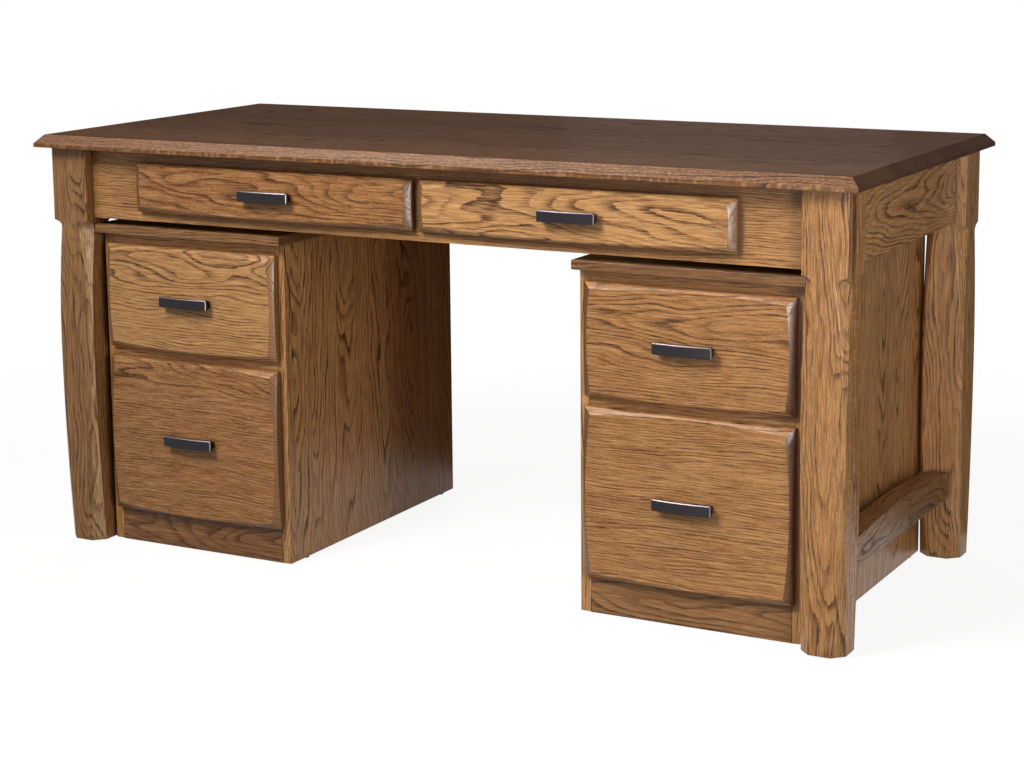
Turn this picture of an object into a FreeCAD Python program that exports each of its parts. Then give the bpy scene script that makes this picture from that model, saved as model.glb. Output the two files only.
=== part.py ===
import FreeCAD, Part
import os
from math import copysign, sqrt

# Pedestal desk in stained oak, in millimetres. +X runs to the right of someone
# facing the drawers, +Y to the back and +Z up. The origin lies on the floor,
# under the middle of the top. Two loose pedestals stand under the desk.

# Whole desk
desk_width = 1626.0
desk_depth = 737.0
desk_height = 787.0

# Top slab: a wide bevel slopes down to a thin upright edge
top_thickness = 23.0
top_bevel_width = 15.0
top_bevel_height = 16.0
top_overhang_side = 23.0
top_overhang_front = 25.0
top_overhang_back = 17.0

# Legs: each upright corner has a chamfer that is narrow at the waist, widens to
# the foot and the shoulder, and stops in a cove below the aprons
leg_size = 78.0
chamfer_foot = 20.0
chamfer_waist = 5.0
chamfer_shoulder = 20.0
waist_height = 385.0
cove_height = 18.0
cove_below_apron = 6.0
leg_glide_radius = 14.0
leg_glide_thickness = 3.0

# Aprons, side stretchers and their mortise and tenon joints
apron_height = 133.0
apron_thickness = 22.0
apron_inset = 20.0
stretcher_floor_gap = 120.0
stretcher_end_height = 47.0
stretcher_crown = 16.0
stretcher_thickness = 38.0
tenon_length = 30.0
tenon_cheek = 6.0
tenon_shoulder = 5.0
mortise_clearance = 0.2

# Corner blocks that hold the aprons and take the screws up into the top
block_height = 40.0
block_beyond_leg = 38.0
top_screw_radius = 2.5
top_screw_bite = 12.0
top_screw_head_radius = 5.0
top_screw_head_height = 3.0

# Drawer fronts: a raised field inside a bevel of one slope, which takes the front down
# to its base at the corners. The field's edges bow outwards, its ends by a share of the
# front's height
front_base_thickness = 10.0
front_thickness = 20.0
field_end_inset = 14.0
field_edge_inset = 11.5
field_edge_bow = 8.0
field_end_bow_share = 0.03
front_lip = 6.0
front_gap = 0.4

# Pencil drawers in the front apron
pencil_reveal_above = 24.0
pencil_reveal_below = 19.0
pencil_reveal_middle = 14.0
pencil_reveal_end = 113.0
pencil_box_depth = 450.0
hanger_thickness = 20.0

# Pedestals
pedestal_width = 406.0
pedestal_front_setback = 44.0
pedestal_back_setback = 49.0
pedestal_apron_gap = 12.0
slab_thickness = 17.0
slab_overhang_front = 24.0
slab_overhang_side = 5.5
slab_leg_clearance = 0.4
side_thickness = 19.0
frame_thickness = 19.0
back_thickness = 12.0
floor_thickness = 16.0
pedestal_glide_radius = 8.0
pedestal_glide_thickness = 3.0
pedestal_glide_inset = 40.0

# Drawer fronts on a pedestal, from the floor up: the two share the height that the
# reveals leave
file_reveal_below = 69.0
file_front_share = 0.603
reveal_between = 18.0
upper_reveal_above = 20.5
reveal_side = 13.5

# Drawer boxes
wall_thickness = 12.0
bottom_thickness = 6.0
bottom_lift = 10.0
groove_depth = 6.0
groove_clearance = 0.2
box_room_below = 8.0
box_room_above = 12.0
box_room_behind = 32.0

# Steel slides: nested channels in the space between carcass and drawer
slide_space = 12.7
slide_metal = 1.2
slide_gap = 0.3
slide_lip_setback = 3.7
slide_half_height = 22.5
pencil_slide_half_height = 17.5
slide_end_setback = 4.0

# Bar pulls, each with two machine screws from inside the drawer
pull_length = 107.0
pull_height = 19.5
pull_thickness = 7.0
pull_bow = 4.0
pull_projection = 22.0
pull_corner_radius = 2.5
pull_chamfer = 1.3
pull_foot_spacing = 90.0
pull_foot_width = 11.0
pull_foot_height = 12.0
pull_screw_radius = 2.0
pull_screw_bite = 9.0
pull_screw_head_radius = 4.5
pull_screw_head_height = 2.5

# Shared by all nails and screws, and by all cuts
hole_clearance = 0.2
glide_nail_radius = 1.5
glide_nail_length = 14.0
cut_overrun = 5.0

# Places worked out from the sizes above
leg_inner_x = desk_width / 2 - top_overhang_side - leg_size
leg_outer_x = leg_inner_x + leg_size
leg_front_y = -desk_depth / 2 + top_overhang_front
leg_back_y = desk_depth / 2 - top_overhang_back
top_underside = desk_height - top_thickness
apron_bottom = top_underside - apron_height
apron_front_y = leg_front_y + apron_inset
apron_back_y = leg_back_y - apron_inset
apron_side_x = leg_outer_x - apron_inset

pencil_front_x = (pencil_reveal_middle / 2, leg_inner_x - pencil_reveal_end)
pencil_front_z = (apron_bottom + pencil_reveal_below, top_underside - pencil_reveal_above)
pencil_open_x = (pencil_front_x[0] + front_lip, pencil_front_x[1] - front_lip)
pencil_open_z = (pencil_front_z[0] + front_lip, pencil_front_z[1] - front_lip)

pedestal_x = leg_inner_x - slab_leg_clearance - slab_overhang_side - pedestal_width / 2
pedestal_front_y = leg_front_y + pedestal_front_setback
pedestal_back_y = leg_back_y - pedestal_back_setback
slab_top = apron_bottom - pedestal_apron_gap
slab_underside = slab_top - slab_thickness
upper_front_top = slab_underside - upper_reveal_above
file_front_height = file_front_share * (upper_front_top - file_reveal_below - reveal_between)
file_front_z = (file_reveal_below, file_reveal_below + file_front_height)
upper_front_z = (file_front_z[1] + reveal_between, upper_front_top)

outer_channel = (0, slide_space - slide_lip_setback)
middle_member = (slide_metal + slide_gap, slide_space - slide_metal - slide_gap)
inner_of_three = (slide_space, 2 * (slide_metal + slide_gap))
inner_of_two = (slide_space, slide_metal + slide_gap)
nesting_step = slide_metal + slide_gap


def point(x, y, z):
    return FreeCAD.Vector(x, y, z)


def block(bounds):
    """A box from its low and high x, y and z."""
    x0, x1, y0, y1, z0, z1 = bounds
    return Part.makeBox(x1 - x0, y1 - y0, z1 - z0, point(x0, y0, z0))


def grown(bounds, room):
    x0, x1, y0, y1, z0, z1 = bounds
    return (x0 - room, x1 + room, y0 - room, y1 + room, z0 - room, z1 + room)


def rod(radius, start, end):
    run = end - start
    return Part.makeCylinder(radius, run.Length, start, run)


def mirrored(shape):
    return shape.mirror(point(0, 0, 0), point(1, 0, 0))


def save(node, solids):
    shape = solids[0] if len(solids) == 1 else Part.makeCompound(solids)
    shape.exportStep("parts/" + node + ".step")


def cut_all(solid, cutters):
    for cutter in cutters:
        solid = solid.cut(cutter)
    return solid.Solids[0]


def edges_along_y(solid):
    bounds = [(edge, edge.BoundBox) for edge in solid.Edges]
    return [edge for edge, box in bounds if box.YLength > box.XLength + box.ZLength]


def rectangle(x, y, z_level):
    """A level rectangle of half sizes x and y about the origin."""
    corners = [point(-x, -y, z_level), point(x, -y, z_level), point(x, y, z_level), point(-x, y, z_level)]
    return Part.makePolygon(corners + corners[:1])


def bow(span, sag, distance):
    """How far an arc has left its tangent, at a distance from where they touch."""
    radius = (span * span + sag * sag) / (2 * sag)
    return radius - sqrt(radius * radius - distance * distance)


def tenons_along_x(bounds):
    x0, x1, y0, y1, z0, z1 = bounds
    cheeks = (y0 + tenon_cheek, y1 - tenon_cheek, z0 + tenon_shoulder, z1 - tenon_shoulder)
    return [(x0 - tenon_length, x0) + cheeks, (x1, x1 + tenon_length) + cheeks]


def tenons_along_y(bounds):
    x0, x1, y0, y1, z0, z1 = bounds
    x_cheeks = (x0 + tenon_cheek, x1 - tenon_cheek)
    shoulders = (z0 + tenon_shoulder, z1 - tenon_shoulder)
    return [x_cheeks + (y0 - tenon_length, y0) + shoulders, x_cheeks + (y1, y1 + tenon_length) + shoulders]


def tenoned(rail, tenons):
    return rail.multiFuse([block(tenon) for tenon in tenons]).removeSplitter().Solids[0]


# Rails of the desk frame, as bounds that their tenons and the mortises follow
across = (-leg_inner_x, leg_inner_x)
between_legs = (leg_front_y + leg_size, leg_back_y - leg_size)
in_front = (apron_front_y, apron_front_y + apron_thickness)
top_rail = across + in_front + (pencil_open_z[1], top_underside)
bottom_rail = across + in_front + (apron_bottom, pencil_open_z[0])
back_rail = across + (apron_back_y - apron_thickness, apron_back_y, apron_bottom, top_underside)
side_rail = (apron_side_x - apron_thickness, apron_side_x) + between_legs + (apron_bottom, top_underside)
stretcher_ends = (
    (apron_side_x - stretcher_thickness, apron_side_x)
    + between_legs
    + (stretcher_floor_gap, stretcher_floor_gap + stretcher_end_height)
)


def mortises():
    """Room for every tenon, on both sides of the desk."""
    ends = tenons_along_x(top_rail) + tenons_along_x(bottom_rail) + tenons_along_x(back_rail)
    pockets = [block(grown(tenon, mortise_clearance)) for tenon in ends]
    for tenon in tenons_along_y(side_rail) + tenons_along_y(stretcher_ends):
        pocket = block(grown(tenon, mortise_clearance))
        pockets += [pocket, mirrored(pocket)]
    return pockets


def chamfer_cutter(corner_x, corner_y, side_x, side_y):
    """What the stopped chamfer takes off one corner of a leg, drawn in its diagonal plane."""
    inward = point(-side_x, -side_y, 0) / sqrt(2)
    sideways = point(-side_y, side_x, 0) / sqrt(2)
    foot, waist, shoulder = [size / sqrt(2) for size in (chamfer_foot, chamfer_waist, chamfer_shoulder)]
    stop_z = apron_bottom - cove_below_apron
    shoulder_z = stop_z - cove_height
    low_z = leg_glide_thickness

    def at(depth, z):
        return point(corner_x, corner_y, z) + inward * depth - sideways * (leg_size / 2)

    lower_span = waist_height - low_z
    lower_mid = waist + bow(lower_span, foot - waist, lower_span / 2)
    upper_span = shoulder_z - waist_height
    upper_mid = waist + bow(upper_span, shoulder - waist, upper_span / 2)
    cove_mid = at(shoulder / sqrt(2), shoulder_z + cove_height / sqrt(2))
    outline = [
        Part.makeLine(at(-cut_overrun, low_z), at(foot, low_z)),
        Part.Arc(at(foot, low_z), at(lower_mid, low_z + lower_span / 2), at(waist, waist_height)).toShape(),
        Part.Arc(
            at(waist, waist_height), at(upper_mid, waist_height + upper_span / 2), at(shoulder, shoulder_z)
        ).toShape(),
        Part.Arc(at(shoulder, shoulder_z), cove_mid, at(0, stop_z)).toShape(),
        Part.makeLine(at(0, stop_z), at(-cut_overrun, stop_z)),
        Part.makeLine(at(-cut_overrun, stop_z), at(-cut_overrun, low_z)),
    ]
    return Part.Face(Part.Wire(outline)).extrude(sideways * leg_size)


def leg(x0, y0, pockets):
    centre_x = x0 + leg_size / 2
    centre_y = y0 + leg_size / 2
    solid = block((x0, x0 + leg_size, y0, y0 + leg_size, leg_glide_thickness, top_underside))
    for side_x in (-1, 1):
        for side_y in (-1, 1):
            corner_x = centre_x + side_x * leg_size / 2
            corner_y = centre_y + side_y * leg_size / 2
            solid = solid.cut(chamfer_cutter(corner_x, corner_y, side_x, side_y))
    return cut_all(solid, pockets + [nail_hole(centre_x, centre_y, leg_glide_thickness)])


def nail_hole(x, y, thickness):
    start = point(x, y, thickness)
    depth = glide_nail_length + hole_clearance
    return rod(glide_nail_radius + hole_clearance, start, start + point(0, 0, depth))


def glide(x, y, radius, thickness):
    """A nylon disc on the floor, with its nail up into the wood."""
    disc = rod(radius, point(x, y, 0), point(x, y, thickness))
    nail = rod(glide_nail_radius, point(x, y, 0), point(x, y, thickness + glide_nail_length))
    return disc.fuse(nail).removeSplitter().Solids[0]


def desk_top(screw_places):
    half_x = desk_width / 2
    half_y = desk_depth / 2
    edge_z = desk_height - top_bevel_height
    upright = block((-half_x, half_x, -half_y, half_y, top_underside, edge_z))
    lower = rectangle(half_x, half_y, edge_z)
    upper = rectangle(half_x - top_bevel_width, half_y - top_bevel_width, desk_height)
    bevels = Part.makeLoft([lower, upper], True, True)
    slab = upright.fuse(bevels).removeSplitter()
    radius = top_screw_radius + hole_clearance
    pilots = []
    for x, y in screw_places:
        start = point(x, y, top_underside)
        pilots.append(rod(radius, start, start + point(0, 0, top_screw_bite + hole_clearance)))
    return cut_all(slab, pilots)


def corner_block_plan(side_x, side_y):
    """The plan of one block, notched round its leg, and the place of its screw."""
    leg_x = side_x * leg_inner_x
    leg_y = leg_front_y + leg_size if side_y < 0 else leg_back_y - leg_size
    apron_x = side_x * (apron_side_x - apron_thickness)
    apron_y = in_front[1] if side_y < 0 else apron_back_y - apron_thickness
    reach = abs(apron_x - leg_x) + abs(apron_y - leg_y) + block_beyond_leg
    plan = [
        (apron_x - side_x * reach, apron_y),
        (leg_x, apron_y),
        (leg_x, leg_y),
        (apron_x, leg_y),
        (apron_x, apron_y - side_y * reach),
    ]
    screw_place = (leg_x - side_x * block_beyond_leg / 4, leg_y - side_y * block_beyond_leg / 4)
    return plan, screw_place


def corner_block(plan, screw_place):
    low_z = top_underside - block_height
    corners = [point(x, y, low_z) for x, y in plan]
    solid = Part.Face(Part.makePolygon(corners + corners[:1])).extrude(point(0, 0, block_height))
    start = point(screw_place[0], screw_place[1], low_z)
    return cut_all(solid, [rod(top_screw_radius + hole_clearance, start, start + point(0, 0, block_height))])


def top_screw(x, y):
    low_z = top_underside - block_height
    shank = rod(top_screw_radius, point(x, y, low_z), point(x, y, top_underside + top_screw_bite))
    head = rod(top_screw_head_radius, point(x, y, low_z - top_screw_head_height), point(x, y, low_z))
    return shank.fuse(head).removeSplitter().Solids[0]


def stretcher():
    """The right stretcher: level below, arched above, with a tenon at each end."""
    x0, x1, y0, y1, z0, z1 = stretcher_ends
    middle = point(x0, (y0 + y1) / 2, z1 + stretcher_crown)
    outline = [
        Part.makeLine(point(x0, y0, z1), point(x0, y0, z0)),
        Part.makeLine(point(x0, y0, z0), point(x0, y1, z0)),
        Part.makeLine(point(x0, y1, z0), point(x0, y1, z1)),
        Part.Arc(point(x0, y1, z1), middle, point(x0, y0, z1)).toShape(),
    ]
    rail = Part.Face(Part.Wire(outline)).extrude(point(x1 - x0, 0, 0))
    return tenoned(rail, tenons_along_y(stretcher_ends))


def front_stiles():
    """Between the front rails: a narrow stile in the middle and a block at each end."""
    upright = in_front + pencil_open_z
    middle = block((-pencil_open_x[0], pencil_open_x[0]) + upright)
    end = block((pencil_open_x[1], leg_inner_x) + upright)
    return [middle, end, mirrored(end)]


def drawer_hangers():
    """Boards from front to back that carry the slides of the pencil drawers."""
    run = (in_front[1], apron_back_y - apron_thickness, pencil_open_z[0], top_underside)
    middle = block((-pencil_open_x[0], pencil_open_x[0]) + run)
    end = block((pencil_open_x[1], pencil_open_x[1] + hanger_thickness) + run)
    return [middle, end, mirrored(end)]


def slide_pair(opening_x, depths, half_height, run_y, centre_z):
    """One member of a pair of slides: a channel at each side of a drawer opening.

    depths holds the distances of its web and of its lips from the carcass.
    """
    pair = []
    for face_x, inward in ((opening_x[0], 1), (opening_x[1], -1)):
        web_x, lip_x = [face_x + inward * depth for depth in depths]
        web_inside_x = web_x + copysign(slide_metal, lip_x - web_x)
        outer_z = (centre_z - half_height, centre_z + half_height)
        inner_z = (outer_z[0] + slide_metal, outer_z[1] - slide_metal)
        section = [
            (web_x, outer_z[0]),
            (lip_x, outer_z[0]),
            (lip_x, inner_z[0]),
            (web_inside_x, inner_z[0]),
            (web_inside_x, inner_z[1]),
            (lip_x, inner_z[1]),
            (lip_x, outer_z[1]),
            (web_x, outer_z[1]),
        ]
        corners = [point(x, run_y[0], z) for x, z in section]
        profile = Part.Face(Part.makePolygon(corners + corners[:1]))
        pair.append(profile.extrude(point(0, run_y[1] - run_y[0], 0)))
    return pair


def pull_screw_places(front_x, front_z):
    middle_x = (front_x[0] + front_x[1]) / 2
    middle_z = (front_z[0] + front_z[1]) / 2
    return [(middle_x + side * pull_foot_spacing / 2, middle_z) for side in (-1, 1)]


def pull_screw_holes(front_x, front_z, face_y):
    run_y = front_thickness + wall_thickness + cut_overrun
    radius = pull_screw_radius + hole_clearance
    return [
        rod(radius, point(x, face_y, z), point(x, face_y + run_y, z))
        for x, z in pull_screw_places(front_x, front_z)
    ]


def bowed_outline(corners, end_bow, edge_bow, y):
    """A closed outline at this depth: four arcs from corner to corner that bow outwards."""
    x0, x1, z0, z1 = corners
    middle_x = (x0 + x1) / 2
    middle_z = (z0 + z1) / 2
    turns = [point(x, y, z) for x, z in ((x0, z0), (x1, z0), (x1, z1), (x0, z1))]
    crests = [
        point(middle_x, y, z0 - edge_bow),
        point(x1 + end_bow, y, middle_z),
        point(middle_x, y, z1 + edge_bow),
        point(x0 - end_bow, y, middle_z),
    ]
    arcs = zip(turns, crests, turns[1:] + turns[:1])
    return Part.Wire([Part.Arc(start, crest, end).toShape() for start, crest, end in arcs])


def drawer_front(front_x, front_z, back_y):
    """A base and a raised field, whose bevel runs out through the straight sides of the front."""
    base_y = back_y - front_base_thickness
    face_y = back_y - front_thickness
    x0, x1, z0, z1 = front_x + front_z
    end_bow = field_end_bow_share * (z1 - z0)
    field = (x0 + field_end_inset, x1 - field_end_inset, z0 + field_edge_inset, z1 - field_edge_inset)
    foot = bowed_outline(front_x + front_z, end_bow, field_edge_bow, base_y)
    head = bowed_outline(field, end_bow, field_edge_bow, face_y)
    raised = Part.makeLoft([foot, head], True, True).common(block(front_x + (face_y, base_y) + front_z))
    base = block(front_x + (base_y, back_y) + front_z)
    front = base.fuse(raised).removeSplitter()
    return cut_all(front, pull_screw_holes(front_x, front_z, face_y))


def drawer_box(box, screw_holes):
    """Two sides, sub-front and back round a bottom that lies in their grooves."""
    x0, x1, y0, y1, z0, z1 = box
    inside = (x0 + wall_thickness, x1 - wall_thickness, y0 + wall_thickness, y1 - wall_thickness)
    bottom_z = (z0 + bottom_lift, z0 + bottom_lift + bottom_thickness)
    bottom = (
        inside[0] - groove_depth,
        inside[1] + groove_depth,
        inside[2] - groove_depth,
        inside[3] + groove_depth,
    ) + bottom_z
    groove = block(grown(bottom, groove_clearance))
    sides = [(x0, inside[0], y0, y1, z0, z1), (inside[1], x1, y0, y1, z0, z1)]
    sub_front = inside[:2] + (y0, inside[2], z0, z1)
    back = inside[:2] + (inside[3], y1, z0, z1)
    walls = [cut_all(block(wall), [groove]) for wall in sides + [back]]
    walls.append(cut_all(block(sub_front), [groove] + screw_holes))
    return walls + [block(bottom)]


def pull(front_x, front_z, face_y):
    """A bar that bows outwards on two feet, and the screws that hold it."""
    middle_x = (front_x[0] + front_x[1]) / 2
    middle_z = (front_z[0] + front_z[1]) / 2
    low_z = middle_z - pull_height / 2
    crest_y = face_y - pull_projection
    end_y = crest_y + pull_bow

    def at(side, y):
        return point(middle_x + side * pull_length / 2, y, low_z)

    outline = [
        Part.Arc(at(-1, end_y), at(0, crest_y), at(1, end_y)).toShape(),
        Part.makeLine(at(1, end_y), at(1, end_y + pull_thickness)),
        Part.Arc(
            at(1, end_y + pull_thickness), at(0, crest_y + pull_thickness), at(-1, end_y + pull_thickness)
        ).toShape(),
        Part.makeLine(at(-1, end_y + pull_thickness), at(-1, end_y)),
    ]
    bar = Part.Face(Part.Wire(outline)).extrude(point(0, 0, pull_height))
    bar = bar.makeFillet(pull_corner_radius, edges_along_y(bar))
    outer_face = min(bar.Faces, key=lambda face: face.CenterOfMass.y)
    casting = bar.makeChamfer(pull_chamfer, outer_face.Edges)
    screws = []
    head_y = face_y + front_thickness + wall_thickness
    for x, z in pull_screw_places(front_x, front_z):
        foot_x = (x - pull_foot_width / 2, x + pull_foot_width / 2)
        foot_z = (z - pull_foot_height / 2, z + pull_foot_height / 2)
        casting = casting.fuse(block(foot_x + (end_y + pull_thickness / 2, face_y) + foot_z))
        tip = point(x, face_y - pull_screw_bite, z)
        seat = point(x, head_y, z)
        hole = rod(pull_screw_radius + hole_clearance, tip - point(0, hole_clearance, 0), point(x, face_y, z))
        casting = casting.cut(hole)
        head = rod(pull_screw_head_radius, seat, seat + point(0, pull_screw_head_height, 0))
        screws.append(rod(pull_screw_radius, tip, seat).fuse(head).removeSplitter().Solids[0])
    return [casting.Solids[0]] + screws


def save_drawer(name, front_x, front_z, opening, carcass_y, box_back_y, half_height, three_members):
    """Save one drawer, and return its fixed slide channels, which its carcass carries."""
    open_x0, open_x1, open_z0, open_z1 = opening
    back_y = carcass_y - front_gap
    face_y = back_y - front_thickness
    box = (
        open_x0 + slide_space,
        open_x1 - slide_space,
        back_y,
        box_back_y,
        open_z0 + box_room_below,
        open_z1 - box_room_above,
    )
    centre_z = (box[4] + box[5]) / 2
    run_y = (carcass_y + slide_end_setback, box_back_y - slide_end_setback)
    opening_x = (open_x0, open_x1)
    inner_depths = inner_of_three if three_members else inner_of_two
    inner_half_height = half_height - (2 * nesting_step if three_members else nesting_step)
    save(name + "_front", [drawer_front(front_x, front_z, back_y)])
    save(name + "_box", drawer_box(box, pull_screw_holes(front_x, front_z, face_y)))
    save(name + "_pull", pull(front_x, front_z, face_y))
    save(name + "_runners", slide_pair(opening_x, inner_depths, inner_half_height, run_y, centre_z))
    if three_members:
        middles = slide_pair(opening_x, middle_member, half_height - nesting_step, run_y, centre_z)
        save(name + "_slide_middles", middles)
    return slide_pair(opening_x, outer_channel, half_height, run_y, centre_z)


def save_pedestal(side, centre_x):
    """Save one pedestal with its two drawers."""
    name = side + "_pedestal"
    x0 = centre_x - pedestal_width / 2
    x1 = centre_x + pedestal_width / 2
    inner_x = (x0 + side_thickness, x1 - side_thickness)
    low_z = pedestal_glide_thickness
    frame_y = (pedestal_front_y, pedestal_front_y + frame_thickness)
    back_inside_y = pedestal_back_y - back_thickness
    file_open_z = (file_front_z[0] + front_lip, file_front_z[1] - front_lip)
    upper_open_z = (upper_front_z[0] + front_lip, upper_front_z[1] - front_lip)
    slab = (
        x0 - slab_overhang_side,
        x1 + slab_overhang_side,
        pedestal_front_y - slab_overhang_front,
        pedestal_back_y,
        slab_underside,
        slab_top,
    )
    glide_places = [
        (x, y)
        for x in (x0 + side_thickness / 2, x1 - side_thickness / 2)
        for y in (frame_y[1] + pedestal_glide_inset, pedestal_back_y - pedestal_glide_inset)
    ]
    nail_holes = [nail_hole(x, y, low_z) for x, y in glide_places]
    panel = (frame_y[1], pedestal_back_y, low_z, slab_underside)
    sides = [block((x0, inner_x[0]) + panel), block((inner_x[1], x1) + panel)]
    stile = frame_y + (low_z, slab_underside)
    rails = ((low_z, file_open_z[0]), (file_open_z[1], upper_open_z[0]), (upper_open_z[1], slab_underside))
    face_frame = [block((x0, inner_x[0]) + stile), block((inner_x[1], x1) + stile)]
    face_frame += [block(inner_x + frame_y + rail) for rail in rails]
    floor_z = (file_open_z[0] - floor_thickness, file_open_z[0])
    save(name + "_top", [block(slab)])
    save(name + "_side_panels", [cut_all(panel_solid, nail_holes) for panel_solid in sides])
    save(name + "_face_frame", face_frame)
    save(name + "_back_panel", [block(inner_x + (back_inside_y, pedestal_back_y, low_z, slab_underside))])
    save(name + "_floor_panel", [block(inner_x + (frame_y[1], back_inside_y) + floor_z)])
    save(name + "_glides", [glide(x, y, pedestal_glide_radius, low_z) for x, y in glide_places])
    channels = []
    front_x = (x0 + reveal_side, x1 - reveal_side)
    box_back_y = back_inside_y - box_room_behind
    for drawer, front_z, open_z in (
        ("_upper_drawer", upper_front_z, upper_open_z),
        ("_file_drawer", file_front_z, file_open_z),
    ):
        opening = inner_x + open_z
        channels += save_drawer(
            side + drawer, front_x, front_z, opening, pedestal_front_y, box_back_y, slide_half_height, True
        )
    save(name + "_slide_channels", channels)


def save_pencil_drawer(side, front_x, opening_x):
    return save_drawer(
        side + "_pencil_drawer",
        front_x,
        pencil_front_z,
        opening_x + pencil_open_z,
        apron_front_y,
        apron_front_y - front_gap + pencil_box_depth,
        pencil_slide_half_height,
        False,
    )


def save_desk_frame():
    """Save the legs, the rails between them, the top and what holds it."""
    pockets = mortises()
    glides = []
    for depth_name, y0 in (("front", leg_front_y), ("back", leg_back_y - leg_size)):
        for side, x0 in (("left", -leg_outer_x), ("right", leg_inner_x)):
            save(depth_name + "_" + side + "_leg", [leg(x0, y0, pockets)])
            glides.append(
                glide(x0 + leg_size / 2, y0 + leg_size / 2, leg_glide_radius, leg_glide_thickness)
            )
    save("leg_glides", glides)
    save("front_top_rail", [tenoned(block(top_rail), tenons_along_x(top_rail))])
    save("front_bottom_rail", [tenoned(block(bottom_rail), tenons_along_x(bottom_rail))])
    save("front_stiles", front_stiles())
    save("back_apron", [tenoned(block(back_rail), tenons_along_x(back_rail))])
    side_apron = tenoned(block(side_rail), tenons_along_y(side_rail))
    save("right_apron", [side_apron])
    save("left_apron", [mirrored(side_apron)])
    right_stretcher = stretcher()
    save("right_stretcher", [right_stretcher])
    save("left_stretcher", [mirrored(right_stretcher)])
    blocks = [corner_block_plan(side_x, side_y) for side_x in (-1, 1) for side_y in (-1, 1)]
    screw_places = [screw_place for plan, screw_place in blocks]
    save("corner_blocks", [corner_block(plan, screw_place) for plan, screw_place in blocks])
    save("top_screws", [top_screw(x, y) for x, y in screw_places])
    save("desk_top", [desk_top(screw_places)])
    save("drawer_hangers", drawer_hangers())


os.makedirs("parts", exist_ok=True)
save_desk_frame()
left_front_x = (-pencil_front_x[1], -pencil_front_x[0])
left_open_x = (-pencil_open_x[1], -pencil_open_x[0])
pencil_channels = save_pencil_drawer("left", left_front_x, left_open_x)
pencil_channels += save_pencil_drawer("right", pencil_front_x, pencil_open_x)
save("pencil_slide_channels", pencil_channels)
save_pedestal("left", -pedestal_x)
save_pedestal("right", pedestal_x)
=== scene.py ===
import math

import bpy
from mathutils import Matrix, Vector


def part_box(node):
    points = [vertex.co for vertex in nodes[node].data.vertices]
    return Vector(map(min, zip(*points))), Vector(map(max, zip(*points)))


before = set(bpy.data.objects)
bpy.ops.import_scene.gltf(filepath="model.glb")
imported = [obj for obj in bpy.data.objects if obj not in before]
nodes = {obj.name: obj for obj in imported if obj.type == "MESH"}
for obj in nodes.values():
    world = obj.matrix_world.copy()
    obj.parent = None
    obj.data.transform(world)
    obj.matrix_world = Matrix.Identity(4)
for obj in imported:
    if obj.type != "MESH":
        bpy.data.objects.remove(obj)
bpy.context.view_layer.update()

MM = 0.001
AXES = {"x": 0, "y": 1, "z": 2}
MATH = "ShaderNodeMath"
VECTOR = "ShaderNodeVectorMath"
NOISE = "ShaderNodeTexNoise"
RANGE = "ShaderNodeMapRange"
MIX = "ShaderNodeMix"
PRINCIPLED = "ShaderNodeBsdfPrincipled"
WHITE = "#ffffff"


def linear(hex_colour):
    """An sRGB hex colour as the linear RGBA that shader sockets take."""
    parts = [int(hex_colour[i : i + 2], 16) / 255 for i in (1, 3, 5)]
    return [c / 12.92 if c <= 0.04045 else ((c + 0.055) / 1.055) ** 2.4 for c in parts] + [1.0]


def per_mm(size):
    """How often a pattern of this size in mm comes back along each axis."""
    return [1 / length for length in size]


def add(tree, kind, feeds=None, **settings):
    """Add a node with these settings, feed its inputs with values or links, and give its outputs."""
    made = tree.nodes.new(kind)
    for key, value in settings.items():
        setattr(made, key, value)
    for key, value in (feeds or {}).items():
        if isinstance(value, bpy.types.NodeSocket):
            tree.links.new(value, made.inputs[key])
        else:
            made.inputs[key].default_value = value
    return made.outputs


def new_material(name):
    """An empty material and its node tree."""
    material = bpy.data.materials.new(name)
    material.use_nodes = True
    material.node_tree.nodes.clear()
    return material, material.node_tree


# The oak's figure, in mm along the grain, across it and into the board. Real pores are 0.3 mm wide and
# 10 mm long: they are drawn several times as coarse, so that they show.
SWAY_SIZE = (330, 95, 95)
RAG_SIZE = (60, 5, 5)
STAIN_SIZE = (170, 26, 26)
PORE_SIZE = (32, 1.8, 1.8)
STREAK_SIZE = (110, 8, 8)
PATCH_SIZE = (260, 16, 16)
FIBRE_SIZE = (45, 2.6, 2.6)
RAY_SIZE = (7, 1.2, 30)
# how far, in mm, the trunk sways across and behind, good years swell over a run, and rags reach
SWAY_ACROSS, SWAY_BEHIND = 45.0, 62.0
GOOD_YEARS_RUN, GOOD_YEARS_SWELL = 26, 9.0
RAG_REACH = 2.2
# the share of a year in which the wide pores grow, and how weak and strong a year's pores are
EARLY_SHARE = 0.55
WEAK_YEAR, STRONG_YEAR = 0.45, 1.35
# glued up boards come from places in the log that are up to so many mm apart
LOG_SIZE = (4100.0, 2300.0, 1700.0)
STRIP_STEP = 7.31
# where the noise behind each figure starts to show, and where it shows in full
STAIN_FROM, STAIN_FULL = 0.35, 0.6
PORE_FROM, PORE_FULL = 0.43, 0.62
STREAK_FROM, STREAK_FULL = 0.64, 0.8
PATCH_FROM, PATCH_FULL = 0.28, 0.72
FIBRE_FROM, FIBRE_FULL = 0.3, 0.7
RAY_FROM, RAY_FULL = 0.5, 0.68
# the share of the stain that went in where it took worst
STAIN_WORST = 0.45
# how dark early wood is between its pores, and what its pores, all pores and streaks add to that
EARLY_DARK, EARLY_PORE_DARK, PORE_DARK, STREAK_DARK = 0.62, 0.45, 0.3, 0.3
# the tone that a board starts from, and what its place in the log, patches and fibres add to that
TONE_START, BOARD_TONE, PATCH_TONE, FIBRE_TONE = -0.27, 0.4, 0.35, 0.75


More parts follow.
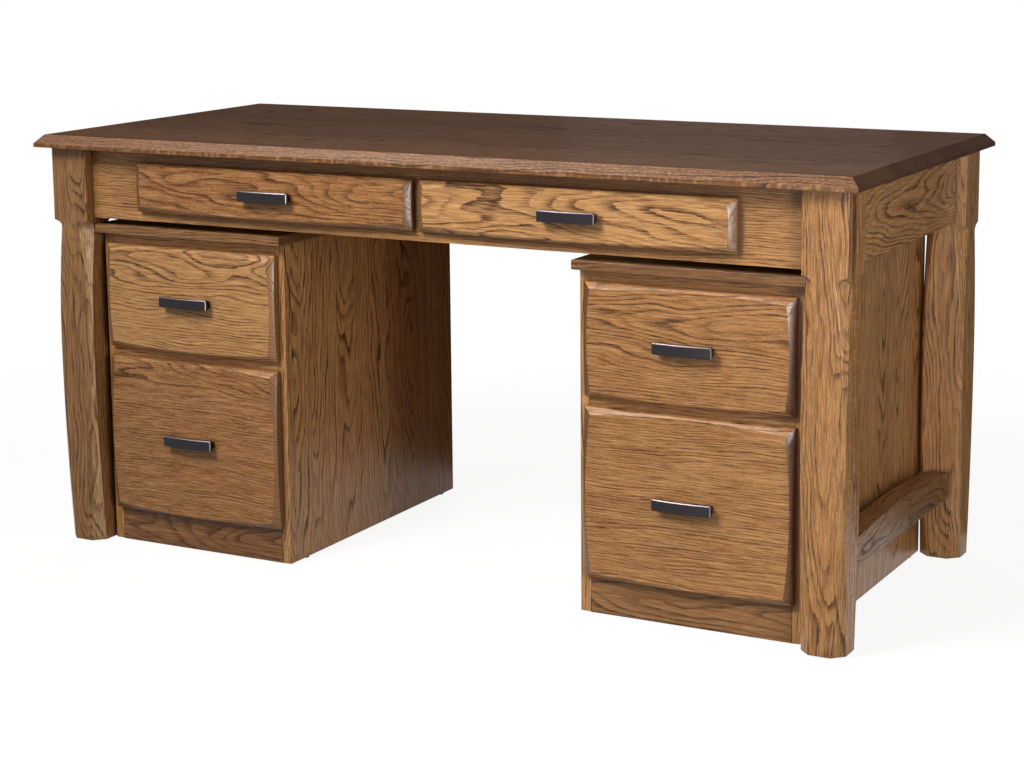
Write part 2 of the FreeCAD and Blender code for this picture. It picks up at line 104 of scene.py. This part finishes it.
# Oak is ring porous: a year starts with a band of wide pores that drink up the stain and go dark, and
# ends in dense wood that stays light. The group draws the years round a pith line in solid wood, in mm,
# so a flat sawn face shows cathedrals, a quarter sawn one straight lines, and both agree at their corner.
def make_oak_rings():
    tree = bpy.data.node_groups.new("oak rings", "ShaderNodeTree")
    tree.interface.new_socket("Place", in_out="INPUT", socket_type="NodeSocketVector")
    for name in ("Pith across", "Pith behind", "Lean", "Ring", "Board", "Spread", "Seed"):
        tree.interface.new_socket(name, in_out="INPUT", socket_type="NodeSocketFloat")
    for name in ("Dark", "Tone", "Fleck"):
        tree.interface.new_socket(name, in_out="OUTPUT", socket_type="NodeSocketFloat")
    given = add(tree, "NodeGroupInput")
    along, across, behind = add(tree, "ShaderNodeSeparateXYZ", {0: given["Place"]})

    # glued up boards: each strip of the given width comes from another place in the log
    strip = add(tree, MATH, {0: across, 1: given["Board"]}, operation="DIVIDE")[0]
    strip = add(tree, MATH, {0: strip, 1: 0.5}, operation="ADD")[0]
    strip = add(tree, MATH, {0: strip}, operation="FLOOR")[0]
    strip_seed = add(tree, MATH, {0: strip, 1: STRIP_STEP, 2: given["Seed"]}, operation="MULTIPLY_ADD")[0]
    luck = add(tree, "ShaderNodeTexWhiteNoise", {"W": strip_seed}, noise_dimensions="1D")["Color"]
    lucky = add(tree, "ShaderNodeSeparateColor", {0: luck})
    strip_middle = add(tree, MATH, {0: strip, 1: given["Board"]}, operation="MULTIPLY")[0]
    across = add(tree, MATH, {0: across, 1: strip_middle}, operation="SUBTRACT")[0]
    shift = add(tree, VECTOR, {0: luck, 1: LOG_SIZE}, operation="MULTIPLY")[0]
    spot = add(tree, "ShaderNodeCombineXYZ", {0: along, 1: across, 2: behind})[0]
    spot = add(tree, VECTOR, {0: spot, 1: shift}, operation="ADD")[0]

    # the trunk's slow sway, some hundreds of mm long
    sway = add(tree, VECTOR, {0: spot, 1: per_mm(SWAY_SIZE)}, operation="MULTIPLY")[0]
    sway = add(tree, NOISE, {"Vector": sway, "Scale": 1.0, "Detail": 2.0, "Roughness": 0.5})["Color"]
    sway = add(tree, VECTOR, {0: sway, 1: (0.5, 0.5, 0.5)}, operation="SUBTRACT")[0]
    sway = add(tree, "ShaderNodeSeparateXYZ", {0: sway})
    pith = add(tree, MATH, {0: lucky[0], 1: 0.5}, operation="SUBTRACT")[0]
    pith_feeds = {0: pith, 1: given["Spread"], 2: given["Pith across"]}
    pith = add(tree, MATH, pith_feeds, operation="MULTIPLY_ADD")[0]
    u = add(tree, MATH, {0: across, 1: pith}, operation="SUBTRACT")[0]
    u = add(tree, MATH, {0: sway[0], 1: SWAY_ACROSS, 2: u}, operation="MULTIPLY_ADD")[0]
    v = add(tree, MATH, {0: behind, 1: given["Pith behind"]}, operation="SUBTRACT")[0]
    v = add(tree, MATH, {0: along, 1: given["Lean"], 2: v}, operation="MULTIPLY_ADD")[0]
    v = add(tree, MATH, {0: sway[1], 1: SWAY_BEHIND, 2: v}, operation="MULTIPLY_ADD")[0]
    reach = add(tree, "ShaderNodeCombineXYZ", {0: u, 1: v})[0]
    reach = add(tree, VECTOR, {0: reach}, operation="LENGTH")["Value"]

    # good and poor years, then the ragged edge where the saw runs out through the pores
    years_feeds = {"W": reach, "Scale": 1 / GOOD_YEARS_RUN, "Detail": 1.0}
    years = add(tree, NOISE, years_feeds, noise_dimensions="1D")[0]
    reach = add(tree, MATH, {0: years, 1: GOOD_YEARS_SWELL, 2: reach}, operation="MULTIPLY_ADD")[0]
    rag = add(tree, VECTOR, {0: spot, 1: per_mm(RAG_SIZE)}, operation="MULTIPLY")[0]
    rag = add(tree, NOISE, {"Vector": rag, "Scale": 1.0, "Detail": 2.0, "Roughness": 0.6})[0]
    reach = add(tree, MATH, {0: rag, 1: RAG_REACH, 2: reach}, operation="MULTIPLY_ADD")[0]
    turn = add(tree, MATH, {0: reach, 1: given["Ring"]}, operation="DIVIDE")[0]
    year = add(tree, MATH, {0: turn}, operation="FLOOR")[0]
    season = add(tree, MATH, {0: turn}, operation="FRACT")[0]
    strong = add(tree, "ShaderNodeTexWhiteNoise", {"W": year}, noise_dimensions="1D")["Value"]
    strong = add(tree, RANGE, {"Value": strong, "To Min": WEAK_YEAR, "To Max": STRONG_YEAR})[0]
    early_feeds = {"Value": season, "From Max": EARLY_SHARE, "To Min": 1.0, "To Max": 0.0}
    early = add(tree, RANGE, early_feeds, interpolation_type="SMOOTHSTEP")[0]
    early = add(tree, MATH, {0: early, 1: strong}, operation="MULTIPLY")[0]
    # the stain took better in some places than in others
    taken = add(tree, VECTOR, {0: spot, 1: per_mm(STAIN_SIZE)}, operation="MULTIPLY")[0]
    taken = add(tree, NOISE, {"Vector": taken, "Scale": 1.0, "Detail": 2.0})[0]
    taken_feeds = {"Value": taken, "From Min": STAIN_FROM, "From Max": STAIN_FULL, "To Min": STAIN_WORST}
    taken = add(tree, RANGE, taken_feeds)[0]
    early = add(tree, MATH, {0: early, 1: taken}, operation="MULTIPLY")[0]

    # the stain fills the pores of the early wood most, and those of the rest a little
    pore = add(tree, VECTOR, {0: spot, 1: per_mm(PORE_SIZE)}, operation="MULTIPLY")[0]
    pore = add(tree, NOISE, {"Vector": pore, "Scale": 1.0, "Detail": 2.0, "Roughness": 0.65})[0]
    pore = add(tree, RANGE, {"Value": pore, "From Min": PORE_FROM, "From Max": PORE_FULL})[0]
    filled = add(tree, MATH, {0: pore, 1: EARLY_PORE_DARK, 2: EARLY_DARK}, operation="MULTIPLY_ADD")[0]
    dark = add(tree, MATH, {0: early, 1: filled}, operation="MULTIPLY")[0]
    dark = add(tree, MATH, {0: pore, 1: PORE_DARK, 2: dark}, operation="MULTIPLY_ADD")[0]
    # here and there a dark mineral streak
    streak = add(tree, VECTOR, {0: spot, 1: per_mm(STREAK_SIZE)}, operation="MULTIPLY")[0]
    streak = add(tree, NOISE, {"Vector": streak, "Scale": 1.0, "Detail": 2.0})[0]
    streak = add(tree, RANGE, {"Value": streak, "From Min": STREAK_FROM, "From Max": STREAK_FULL})[0]
    dark_feeds = {0: streak, 1: STREAK_DARK, 2: dark}
    dark = add(tree, MATH, dark_feeds, operation="MULTIPLY_ADD", use_clamp=True)[0]

    # lighter and darker boards, patches and fibres
    patch = add(tree, VECTOR, {0: spot, 1: per_mm(PATCH_SIZE)}, operation="MULTIPLY")[0]
    patch = add(tree, NOISE, {"Vector": patch, "Scale": 1.0, "Detail": 3.0, "Roughness": 0.65})[0]
    patch = add(tree, RANGE, {"Value": patch, "From Min": PATCH_FROM, "From Max": PATCH_FULL})[0]
    fibre = add(tree, VECTOR, {0: spot, 1: per_mm(FIBRE_SIZE)}, operation="MULTIPLY")[0]
    fibre = add(tree, NOISE, {"Vector": fibre, "Scale": 1.0, "Detail": 2.0})[0]
    fibre = add(tree, RANGE, {"Value": fibre, "From Min": FIBRE_FROM, "From Max": FIBRE_FULL})[0]
    tone = add(tree, MATH, {0: lucky[2], 1: BOARD_TONE, 2: TONE_START}, operation="MULTIPLY_ADD")[0]
    tone = add(tree, MATH, {0: patch, 1: PATCH_TONE, 2: tone}, operation="MULTIPLY_ADD")[0]
    tone = add(tree, MATH, {0: fibre, 1: FIBRE_TONE, 2: tone}, operation="MULTIPLY_ADD")[0]

    # rays stand on edge along the radius: flecks on an edge, fine dashes on a flat sawn face
    ray = add(tree, VECTOR, {0: spot, 1: per_mm(RAY_SIZE)}, operation="MULTIPLY")[0]
    ray = add(tree, NOISE, {"Vector": ray, "Scale": 1.0, "Detail": 1.0})[0]
    ray = add(tree, RANGE, {"Value": ray, "From Min": RAY_FROM, "From Max": RAY_FULL})[0]
    add(tree, "NodeGroupOutput", {"Dark": dark, "Tone": tone, "Fleck": ray})
    return tree


oak_rings = make_oak_rings()
OAK_FINISHES = {
    # late wood, warmer late wood, stained pores, rays, share of the rays that shows, roughness
    "medium": ("#ebb070", "#a96d37", "#4f2c10", "#e8c79c", 0.3, 0.32),
    "dark": ("#c4905b", "#8a5a30", "#42250d", "#c79a6c", 0.2, 0.33),
    "cut end": ("#a5784f", "#83593a", "#5b3a20", "#a5784f", 0.0, 0.26),
    "slab": ("#b08052", "#754a28", "#43270f", "#c79a6c", 0.06, 0.34),
    # pale oak that paints a highlight on the legs' chamfers
    "rubbed": ("#ecc9a0", "#bd8c58", "#6e4724", "#f2dcbc", 0.35, 0.32),
    "top": ("#855b3c", "#54301b", "#2e1a0c", "#87664a", 0.1, 0.34),
    "top edge": ("#966234", "#71431f", "#381f0a", "#cb9660", 0.6, 0.46),
}
LACQUER_IOR = 1.5
LACQUER_GLOSS = 0.3
PORE_DEPTH = 0.3
PORE_ROUGHER = 0.18
# end grain shows above this share of the normal, and gets up to so dark
END_GRAIN_FROM, END_GRAIN_DARK = 0.8, 0.5
# how open the space is over a full corner and over a clean face, and how dark the painted shade in a corner
# gets
CORNER_OPEN, FACE_OPEN, CORNER_SHADE_DARK = 0.4, 0.92, 0.95
# in mm: a board wider than any piece, and how far out of a corner the painted shade reaches
ONE_BOARD = 4000.0
PAINTED_SHADE_REACH = 11.0
# the painted shade on the front rails reaches further, under and between the drawers
RAIL_PAINTED_SHADE_REACH = 24.0


# Red oak, planed, stained brown and lacquered satin: golden late wood between dark, slightly sunk pores.
def stained_oak(
    name,
    grain,
    face,
    origin,
    pith,
    lean,
    ring,
    seed,
    tone=0.0,
    board=ONE_BOARD,
    spread=0.0,
    finish="medium",
    stain_reach=PAINTED_SHADE_REACH,
):
    """Oak with its grain along an axis. Its pith is so many mm across from the origin and behind the face."""
    late, warm, pores, rays, ray_share, rough = OAK_FINISHES[finish]
    material, tree = new_material("stained oak " + name)
    here = add(tree, "ShaderNodeTexCoord")
    at = add(tree, VECTOR, {0: here["Object"], 1: origin}, operation="SUBTRACT")[0]
    at = add(tree, VECTOR, {0: at, "Scale": 1 / MM}, operation="SCALE")[0]
    at = add(tree, "ShaderNodeSeparateXYZ", {0: at})
    side = next(axis for axis in "xyz" if axis not in grain + face)
    inward = -1.0 if face[0] == "+" else 1.0
    behind = add(tree, MATH, {0: at[AXES[face[1]]], 1: inward}, operation="MULTIPLY")[0]
    place = add(tree, "ShaderNodeCombineXYZ", {0: at[AXES[grain]], 1: at[AXES[side]], 2: behind})[0]
    figure = {
        "Place": place,
        "Pith across": pith[0],
        "Pith behind": pith[1],
        "Lean": lean,
        "Ring": ring,
        "Board": board,
        "Spread": spread,
        "Seed": seed,
    }
    wood = add(tree, "ShaderNodeGroup", figure, node_tree=oak_rings)
    # end grain drinks more stain; corners and recesses, where the space over them is closed in, get painted
    # shade
    end = add(tree, "ShaderNodeSeparateXYZ", {0: here["Normal"]})[AXES[grain]]
    end = add(tree, MATH, {0: end}, operation="ABSOLUTE")[0]
    end = add(tree, RANGE, {"Value": end, "From Min": END_GRAIN_FROM, "To Max": END_GRAIN_DARK})[0]
    dark = add(tree, MATH, {0: wood["Dark"], 1: end}, operation="MAXIMUM")[0]
    open_share = add(tree, "ShaderNodeAmbientOcclusion", {"Distance": stain_reach * MM}, samples=4)["AO"]
    corner = {
        "Value": open_share,
        "From Min": CORNER_OPEN,
        "From Max": FACE_OPEN,
        "To Min": CORNER_SHADE_DARK,
        "To Max": 0.0,
    }
    painted_corner_shade = add(tree, RANGE, corner)[0]
    dark = add(tree, MATH, {0: dark, 1: painted_corner_shade}, operation="MAXIMUM")[0]
    warmth = add(tree, MATH, {0: wood["Tone"], 1: tone}, operation="ADD")[0]
    woods = {0: warmth, 6: linear(late), 7: linear(warm)}
    colour = add(tree, MIX, woods, data_type="RGBA", clamp_factor=False)[2]
    ray = add(tree, MATH, {0: wood["Fleck"], 1: ray_share}, operation="MULTIPLY")[0]
    colour = add(tree, MIX, {0: ray, 6: colour, 7: linear(rays)}, data_type="RGBA")[2]
    colour = add(tree, MIX, {0: dark, 6: colour, 7: linear(pores)}, data_type="RGBA")[2]
    roughness = add(tree, RANGE, {"Value": dark, "To Min": rough, "To Max": rough + PORE_ROUGHER})[0]
    sunk = add(tree, MATH, {0: dark, 1: -1.0}, operation="MULTIPLY")[0]
    normal = add(tree, "ShaderNodeBump", {"Strength": 0.2, "Distance": PORE_DEPTH * MM, "Height": sunk})[0]
    lacquered = {
        "Base Color": colour,
        "Roughness": roughness,
        "Normal": normal,
        "IOR": LACQUER_IOR,
        "Specular IOR Level": LACQUER_GLOSS,
    }
    shader = add(tree, PRINCIPLED, lacquered)
    add(tree, "ShaderNodeOutputMaterial", {"Surface": shader[0]})
    return material


# A fine grained pale wood, a metal or a plastic: two tones in soft streaks of a real size, and roughness
# that follows them.
def streaked(name, tones, streak, metallic, roughness, dent=0.0):
    """Streaks are (x, y, z) mm long; dent is how deep, in mm, they are in the surface."""
    material, tree = new_material(name)
    at = add(tree, "ShaderNodeTexCoord")["Object"]
    at = add(tree, VECTOR, {0: at, 1: [1 / (MM * size) for size in streak]}, operation="MULTIPLY")[0]
    cloud = add(tree, NOISE, {"Vector": at, "Scale": 1.0, "Detail": 3.0, "Roughness": 0.6})[0]
    cloud = add(tree, RANGE, {"Value": cloud, "From Min": 0.3, "From Max": 0.7})[0]
    colour = add(tree, MIX, {0: cloud, 6: linear(tones[0]), 7: linear(tones[1])}, data_type="RGBA")[2]
    rough = add(tree, RANGE, {"Value": cloud, "To Min": roughness[0], "To Max": roughness[1]})[0]
    feeds = {"Base Color": colour, "Roughness": rough, "Metallic": metallic}
    if dent:
        dents = {"Strength": 0.3, "Distance": dent * MM, "Height": cloud}
        feeds["Normal"] = add(tree, "ShaderNodeBump", dents)[0]
    shader = add(tree, PRINCIPLED, feeds)
    add(tree, "ShaderNodeOutputMaterial", {"Surface": shader[0]})
    return material


# Hard maple under clear lacquer: cream, nearly plain, with faint tan streaks along the grain.
MAPLE_TONES = ("#e2c596", "#cfa870")
maple_x = streaked("clear maple along x", MAPLE_TONES, (90, 5, 5), 0.0, (0.4, 0.5))
maple_y = streaked("clear maple along y", MAPLE_TONES, (5, 90, 5), 0.0, (0.4, 0.5))
# Zinc alloy in dark oil rubbed bronze: near black and satin. Its edges that face up and right are pale metal:
# partly the finish rubbed back, partly a painted highlight where the light catches them.
bronze = streaked("oil rubbed bronze", ("#3a3639", "#2f2c2f"), (6, 2, 2), 1.0, (0.36, 0.44))
rubbed = streaked("rubbed bronze edge", ("#94898b", "#7a7073"), (6, 2, 2), 1.0, (0.28, 0.36))
# Cold rolled steel, zinc plated: pale grey with a cloudy, slightly bluish sheen.
zinc = streaked("zinc plated steel", ("#b3b8bd", "#9ba1a8"), (14, 14, 14), 1.0, (0.28, 0.42))
# Moulded nylon: dull and dark, with a fine grained skin.
nylon = streaked("moulded nylon", ("#2b2624", "#37302c"), (1.5, 1.5, 1.5), 0.0, (0.5, 0.62), dent=0.05)

# how far the edges of boards, thin frames, pedestal tops and maple pieces are eased, in mm
BOARD_EDGE = 1.0
FRAME_EDGE = 0.6
SLAB_EDGE = 2.0
MAPLE_EDGE = 0.8


def on_face(name, face):
    """The middle of one face of a CAD node's box."""
    low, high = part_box(name)
    middle = (low + high) / 2
    axis = AXES[face[1]]
    middle[axis] = high[axis] if face[0] == "+" else low[axis]
    return middle


def dress(name, *materials, choose=None, eased=0.0):
    """Give a CAD node its materials; choose picks one for a face, and eased rounds sharp edges, in mm."""
    shape = nodes[name]
    shape.data.materials.clear()
    for material in materials:
        shape.data.materials.append(material)
    if choose:
        for face in shape.data.polygons:
            face.material_index = choose(face)
    if eased:
        weld = shape.modifiers.new("weld", "WELD")
        weld.merge_threshold = 0.02 * MM
        whole = shape.modifiers.new("whole flat faces", "DECIMATE")
        whole.decimate_type = "DISSOLVE"
        whole.angle_limit = math.radians(0.2)
        whole.delimit = {"MATERIAL"}
        bevel = shape.modifiers.new("eased edges", "BEVEL")
        bevel.width = eased * MM
        bevel.segments = 2
        bevel.limit_method = "ANGLE"
        bevel.angle_limit = math.radians(25)
        bevel.harden_normals = True


# a face leans to an axis if more than the first share of its normal lies along it, and looks squarely
# along it above the second
LEANS, SQUARE = 0.3, 0.95
STILE_WIDTH = 19 * MM
BASE_TOP = 90 * MM
BOX_WALL = 12.5 * MM


def on_chamfer(face):
    return min(abs(face.normal.x), abs(face.normal.y)) > LEANS


def on_cut_end(face):
    return abs(face.normal.x) > LEANS and abs(face.normal.y) < SQUARE


def on_front_edge(face):
    return face.normal.y < -LEANS


# a pull's chamfers that face up or right, which get the pale metal and its painted highlight
def on_highlit_edge(face):
    return LEANS < -face.normal.y < SQUARE and max(face.normal.x, face.normal.z) > LEANS


def sides_of_box(low, high):
    """A choice for the drawer box with these corners: 1 on its two sides, and 0 between them."""

    def on_box_side(face):
        return not low.x + BOX_WALL < face.center.x < high.x - BOX_WALL

    return on_box_side


def pieces_of_frame(low, high):
    """A choice for the face frame with these corners: 0 on its rails, 1 on its stiles and 2 on its base."""

    def frame_piece(face):
        if not low.x + STILE_WIDTH < face.center.x < high.x - STILE_WIDTH:
            return 1
        return 2 if face.center.z < BASE_TOP else 0

    return frame_piece


def oak_board(name, grain, face, *figure, **more):
    """Stained oak laid out from the middle of a CAD node's show face."""
    return stained_oak(name.replace("_", " "), grain, face, on_face(name, face), *figure, **more)


legs = [
    # node, pith across and behind, seed, finish and tone, finish and tone of the chamfers' painted highlight
    ("front_left_leg", (20, 55), 1, "dark", 0.0, "rubbed", 0.3),
    ("front_right_leg", (16, 40), 2, "medium", 0.0, "medium", -0.2),
    ("back_left_leg", (-15, 55), 3, "medium", 0.1, "rubbed", 0.1),
    ("back_right_leg", (30, 45), 4, "medium", -0.15, "medium", -0.25),
]
LEG_LEAN, LEG_RING = 0.05, 4.6

# the legs' chamfers are coloured lighter than the posts, a painted highlight: a little lighter on the right
# legs, pale on the left ones
for name, pith, seed, finish, tone, chamfer_highlight_finish, chamfer_highlight_tone in legs:
    figure = (name, "z", "-y", pith, LEG_LEAN, LEG_RING, seed)
    post = oak_board(*figure, tone=tone, finish=finish)
    chamfer_highlight = oak_board(*figure, tone=chamfer_highlight_tone, finish=chamfer_highlight_finish)
    chamfer_highlight.name += " chamfer"
    dress(name, post, chamfer_highlight, choose=on_chamfer, eased=BOARD_EDGE)

single_boards = [
    # node, grain, show face, pith across and behind, lean, ring, seed, tone, finish, tone of cut ends, which
    # paints light and shade on them
    ("back_apron", "x", "+y", (12, 60), 0.04, 6.0, 5, 0.1, "medium", None),
    ("left_apron", "y", "-x", (-6, 52), 0.08, 6.0, 6, 0.1, "medium", None),
    ("right_apron", "y", "+x", (8, 48), 0.1, 6.0, 7, 0.1, "medium", None),
    ("left_stretcher", "y", "-x", (4, 60), 0.05, 5.0, 8, 0.4, "dark", None),
    ("right_stretcher", "y", "+x", (4, 60), 0.05, 5.0, 9, 0.4, "dark", None),
    ("left_pencil_drawer_front", "x", "-y", (20, 62), 0.05, 5.4, 10, 0.35, "medium", 0.35),
    ("right_pencil_drawer_front", "x", "-y", (12, 48), 0.05, 5.6, 11, 0.05, "medium", 0.05),
    ("left_upper_drawer_front", "x", "-y", (75, 62), 0.05, 4.8, 12, 0.05, "medium", -1.1),
    ("right_upper_drawer_front", "x", "-y", (40, 58), 0.05, 4.8, 19, 0.12, "medium", 0.3),
    ("left_file_drawer_front", "x", "-y", (140, 66), 0.06, 4.4, 14, 0.3, "medium", -0.5),
    ("right_file_drawer_front", "x", "-y", (-220, 60), 0.04, 4.4, 15, 0.0, "medium", 0.2),
]

# across the grain the stain goes in evenly: the ends of the drawer fronts are a plain brown. Their tones are
# painted light and shade: the ends of the left upper and left file fronts are lighter, a painted highlight,
# and those of the right upper and right file fronts darker, painted shade
for *figure, tone, finish, cut_end_painted_light in single_boards:
    name = figure[0]
    board = oak_board(*figure, tone=tone, finish=finish)
    if cut_end_painted_light is None:
        dress(name, board, eased=BOARD_EDGE)
    else:
        cut_end = oak_board(*figure, tone=cut_end_painted_light, finish="cut end")
        cut_end.name += " end"
        dress(name, board, cut_end, choose=on_cut_end, eased=BOARD_EDGE)

# the front rails and the end pieces between them are sawn from one wide board, so the grain runs through; the
# painted shade on them reaches further, under and between the drawers
front_figure = ("front_top_rail", "x", "-y", (150, 60), 0.04, 4.6, 21)
front_board = oak_board(*front_figure, stain_reach=RAIL_PAINTED_SHADE_REACH)
for name in ("front_top_rail", "front_bottom_rail", "front_stiles"):
    dress(name, front_board, eased=FRAME_EDGE)

# the top's front edge has its own finish, a little lighter and rougher than the face's, and shows the rays on
# end
top_figure = ("desk_top", "x", "+z", (0, 70), 0.04, 6.0, 22)
top_boards = {"board": 128.0, "spread": 140.0}
top_face = oak_board(*top_figure, finish="top", **top_boards)
top_edge = oak_board(*top_figure, finish="top edge", **top_boards)
top_edge.name += " edge"
dress("desk_top", top_face, top_edge, choose=on_front_edge, eased=BOARD_EDGE)

panel_boards = {"board": 92.0, "spread": 240.0, "tone": 0.1}
slab_boards = {"board": 130.0, "spread": 100.0, "finish": "slab"}
for side, seed, base_shade_tone in (("left", 30, 0.5), ("right", 50, -0.1)):
    start = side + "_pedestal_"
    panels = oak_board(start + "side_panels", "z", "+x", (0, 80), 0.05, 5.5, seed, **panel_boards)
    dress(start + "side_panels", panels, eased=FRAME_EDGE)
    back = oak_board(start + "back_panel", "z", "+y", (0, 80), 0.05, 5.5, seed + 1, **panel_boards)
    dress(start + "back_panel", back, eased=FRAME_EDGE)
    slab = oak_board(start + "top", "x", "+z", (0, 70), 0.04, 6.0, seed + 2, **slab_boards)
    dress(start + "top", slab, eased=SLAB_EDGE)
    frame_low, frame_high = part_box(start + "face_frame")
    frame_piece = pieces_of_frame(frame_low, frame_high)
    rails = oak_board(start + "face_frame", "x", "-y", (-40, 45), 0.07, 6.0, seed + 5, tone=-0.1)
    # the base rails are coloured darker, the left one most: painted shade, darker low down and towards the
    # left
    shaded_base_finish = {"tone": base_shade_tone, "finish": "dark"}
    base = oak_board(start + "face_frame", "x", "-y", (-263, 45), 0.07, 6.0, seed + 3, **shaded_base_finish)
    base.name += " base"
    stiles = oak_board(start + "face_frame", "z", "-y", (120, 60), 0.03, 5.0, seed + 4)
    stiles.name += " stiles"
    dress(start + "face_frame", rails, stiles, base, choose=frame_piece, eased=FRAME_EDGE)
    dress(start + "floor_panel", maple_x)
    dress(start + "slide_channels", zinc)
    dress(start + "glides", nylon)
    for drawer in ("pencil", "upper", "file"):
        start = f"{side}_{drawer}_drawer_"
        box_low, box_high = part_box(start + "box")
        on_box_side = sides_of_box(box_low, box_high)
        dress(start + "box", maple_x, maple_y, choose=on_box_side, eased=MAPLE_EDGE)
        dress(start + "pull", bronze, rubbed, choose=on_highlit_edge)
        dress(start + "runners", zinc)
        if drawer != "pencil":
            dress(start + "slide_middles", zinc)
dress("corner_blocks", maple_x, eased=MAPLE_EDGE)
dress("drawer_hangers", maple_y, eased=MAPLE_EDGE)
dress("top_screws", zinc)
dress("pencil_slide_channels", zinc)
dress("leg_glides", nylon)


def backdrop_share(tree):
    """1 for rays that look at the backdrop straight, in a mirror or through glass, 0 for bounced light."""
    rays = add(tree, "ShaderNodeLightPath")
    seen = add(tree, MATH, {0: rays["Is Camera Ray"], 1: rays["Is Glossy Ray"]}, operation="MAXIMUM")[0]
    return add(tree, MATH, {0: seen, 1: rays["Is Transmission Ray"]}, operation="MAXIMUM")[0]


# White seamless paper: it keeps the desk's soft shadow and runs out to plain white away from it.
FLOOR_SIZE = 80
SHADOW_REACH, WHITE_REACH = 1.0, 2.6
PAPER_LIFT = 0.9
bpy.ops.mesh.primitive_plane_add(size=FLOOR_SIZE, location=(0, 0, 0))
floor = bpy.context.object
floor.name = "paper_floor"
paper, tree = new_material("white seamless paper")
seen = backdrop_share(tree)
reach = add(tree, VECTOR, {0: add(tree, "ShaderNodeTexCoord")["Object"]}, operation="LENGTH")["Value"]
far_feeds = {"Value": reach, "From Min": SHADOW_REACH, "From Max": WHITE_REACH}
far = add(tree, RANGE, far_feeds, interpolation_type="SMOOTHSTEP")[0]
far = add(tree, MATH, {0: far, 1: seen}, operation="MULTIPLY")[0]
lift = add(tree, MATH, {0: seen, 1: PAPER_LIFT}, operation="MULTIPLY")[0]
near_feeds = {
    "Base Color": linear("#707070"),
    "Roughness": 0.9,
    "Specular IOR Level": 0.0,
    "Emission Color": linear(WHITE),
    "Emission Strength": lift,
}
near_paper = add(tree, PRINCIPLED, near_feeds)[0]
far_paper = add(tree, "ShaderNodeEmission", {"Color": linear(WHITE), "Strength": 1.0})[0]
both = add(tree, "ShaderNodeMixShader", {0: far, 1: near_paper, 2: far_paper})[0]
add(tree, "ShaderNodeOutputMaterial", {"Surface": both})
floor.data.materials.append(paper)

# the room is white to look at and lights the desk only a little
ROOM_LIGHT = 0.1
world = bpy.data.worlds.new("white studio")
bpy.context.scene.world = world
world.use_nodes = True
world.node_tree.nodes.clear()
tree = world.node_tree
strength = add(tree, RANGE, {"Value": backdrop_share(tree), "To Min": ROOM_LIGHT, "To Max": 1.0})[0]
sky = add(tree, "ShaderNodeBackground", {"Color": linear(WHITE), "Strength": strength})[0]
add(tree, "ShaderNodeOutputWorld", {"Surface": sky})


def upright_flag(name, grey, left, right, low, high, distance):
    """A felt flag that stands behind the desk and shows only in gloss; its edges are in metres."""
    middle = ((left + right) / 2, distance, (low + high) / 2)
    bpy.ops.mesh.primitive_plane_add(size=1, location=middle, rotation=(math.pi / 2, 0, 0))
    flag = bpy.context.object
    flag.scale = (right - left, high - low, 1)
    flag.name = name
    felt, tree = new_material(name.replace("_", " ") + " felt")
    shader = add(tree, PRINCIPLED, {"Base Color": linear(grey), "Roughness": 1.0})
    add(tree, "ShaderNodeOutputMaterial", {"Surface": shader[0]})
    flag.data.materials.append(felt)
    flag.visible_camera = False
    flag.visible_diffuse = False
    flag.visible_transmission = False
    flag.visible_shadow = False


# the dark flag keeps the white room from greying the satin wood; the pale one leaves a sheen on the top
upright_flag("dark_flag", "#606060", -3.0, 3.0, 0.0, 2.4, 0.45)
upright_flag("pale_flag", "#848484", -0.1, 0.6, 0.79, 1.5, 0.44)


def softbox(name, place, aim, size, power, grid=math.pi):
    """An area lamp of this size in metres, aimed at a point; a grid on it narrows its beam to an angle."""
    lamp = bpy.data.lights.new(name, "AREA")
    lamp.shape = "RECTANGLE"
    lamp.size, lamp.size_y = size
    lamp.energy = power
    lamp.spread = grid
    box = bpy.data.objects.new(name, lamp)
    bpy.context.scene.collection.objects.link(box)
    box.location = place
    box.rotation_euler = (Vector(aim) - Vector(place)).to_track_quat("-Z", "Y").to_euler()
    return box


# a high key with a grid, left of the middle, so that what faces right falls dark, and a weak fill right
KEY_GRID = math.radians(110)
softbox("key softbox", (-0.7, -2.3, 2.5), (0.75, -0.3, 0.4), (1.1, 1.1), 29, grid=KEY_GRID)
side_fill = softbox("side fill", (2.3, -1.45, 0.8), (0.4, -0.2, 0.5), (0.5, 1.4), 19)
# light on the back and the left end
back_fill = softbox("back fill", (-1.6, 3.0, 1.0), (0, 0, 0.4), (2.4, 1.4), 50)
for fill in (side_fill, back_fill):
    fill.visible_glossy = False
# two panels only for gloss: on the upper bevels that face right, and along the bevels that face up; the
# side panel is lower than the desk top, because above it the top would glare when seen from behind
side_panel = softbox("side panel", (1.46, -1.594, 0.55), (1.835, -0.667, 0.55), (1.2, 0.36), 62)
top_panel = softbox("overhead panel", (-1.0, -1.1, 2.9), (0, -0.35, 0.7), (2.4, 0.8), 44)
for panel in (side_panel, top_panel):
    panel.visible_diffuse = False

# the camera stands right of the desk and a little above it, where the photograph was taken
CAMERA_PLACE = (1.95017, -3.59013, 1.20723)
YAW, PITCH, ROLL = 0.4959, 0.1683, -0.009
PIXELS_WIDE, FOCAL_PIXELS, SHIFT_PIXELS = 1024, 2216.1, -104
lens = bpy.data.cameras.new("camera")
camera = bpy.data.objects.new("camera", lens)
bpy.context.scene.collection.objects.link(camera)
bpy.context.scene.camera = camera
lens.sensor_width = 36
lens.lens = FOCAL_PIXELS * lens.sensor_width / PIXELS_WIDE
lens.shift_y = SHIFT_PIXELS / PIXELS_WIDE
lens.clip_end = 200
camera.location = CAMERA_PLACE
turned = Matrix.Rotation(YAW, 3, "Z")
tilted = Matrix.Rotation(math.pi / 2 - PITCH, 3, "X")
rolled = Matrix.Rotation(ROLL, 3, "Z")
camera.rotation_euler = (turned @ tilted @ rolled).to_euler()

bpy.context.scene.view_settings.view_transform = "Standard"
